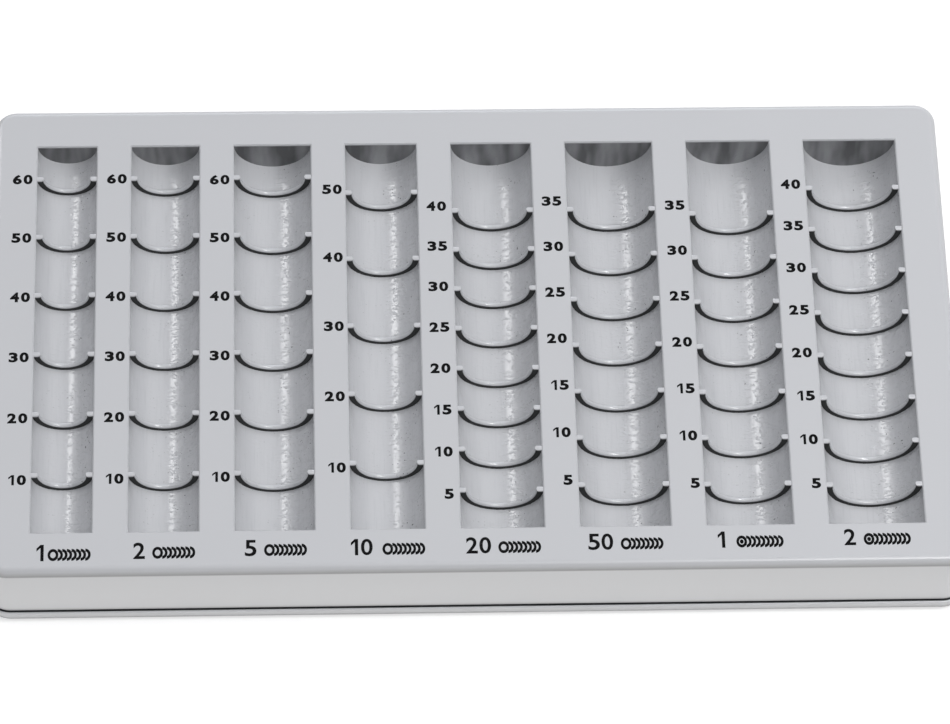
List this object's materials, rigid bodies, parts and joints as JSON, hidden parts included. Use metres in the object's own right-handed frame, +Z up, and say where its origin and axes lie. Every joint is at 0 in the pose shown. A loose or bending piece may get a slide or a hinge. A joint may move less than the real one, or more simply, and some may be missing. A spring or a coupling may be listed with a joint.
{
  "type": "coin counting tray",
  "caption": "Flat moulded tray with parallel half-round troughs for coins, parted into counted stacks by rounded dividers, on a base cover with rubber feet.",
  "frame": {"origin": "middle of the footprint, on the surface that the feet stand on", "axes": "+X across the troughs to the right, +Y along them to the far side, +Z up"},
  "size_m": [0.2698, 0.1482, 0.0268],
  "materials": {
    "tray_plastic": "light cool grey injection moulding, satin gloss",
    "cover_plastic": "light cool grey injection moulding, satin gloss",
    "screw_steel": "zinc plated steel",
    "foot_rubber": "matt black rubber",
    "print_ink": "matt black pad printing ink"
  },
  "bodies": {
    "root": {"tray_top": "tray_plastic", "base_cover": "cover_plastic", "cover_screws": "screw_steel", "foot_front_left": "foot_rubber", "foot_front_right": "foot_rubber", "foot_rear_left": "foot_rubber", "foot_rear_right": "foot_rubber"}
  },
  "joints": []
}
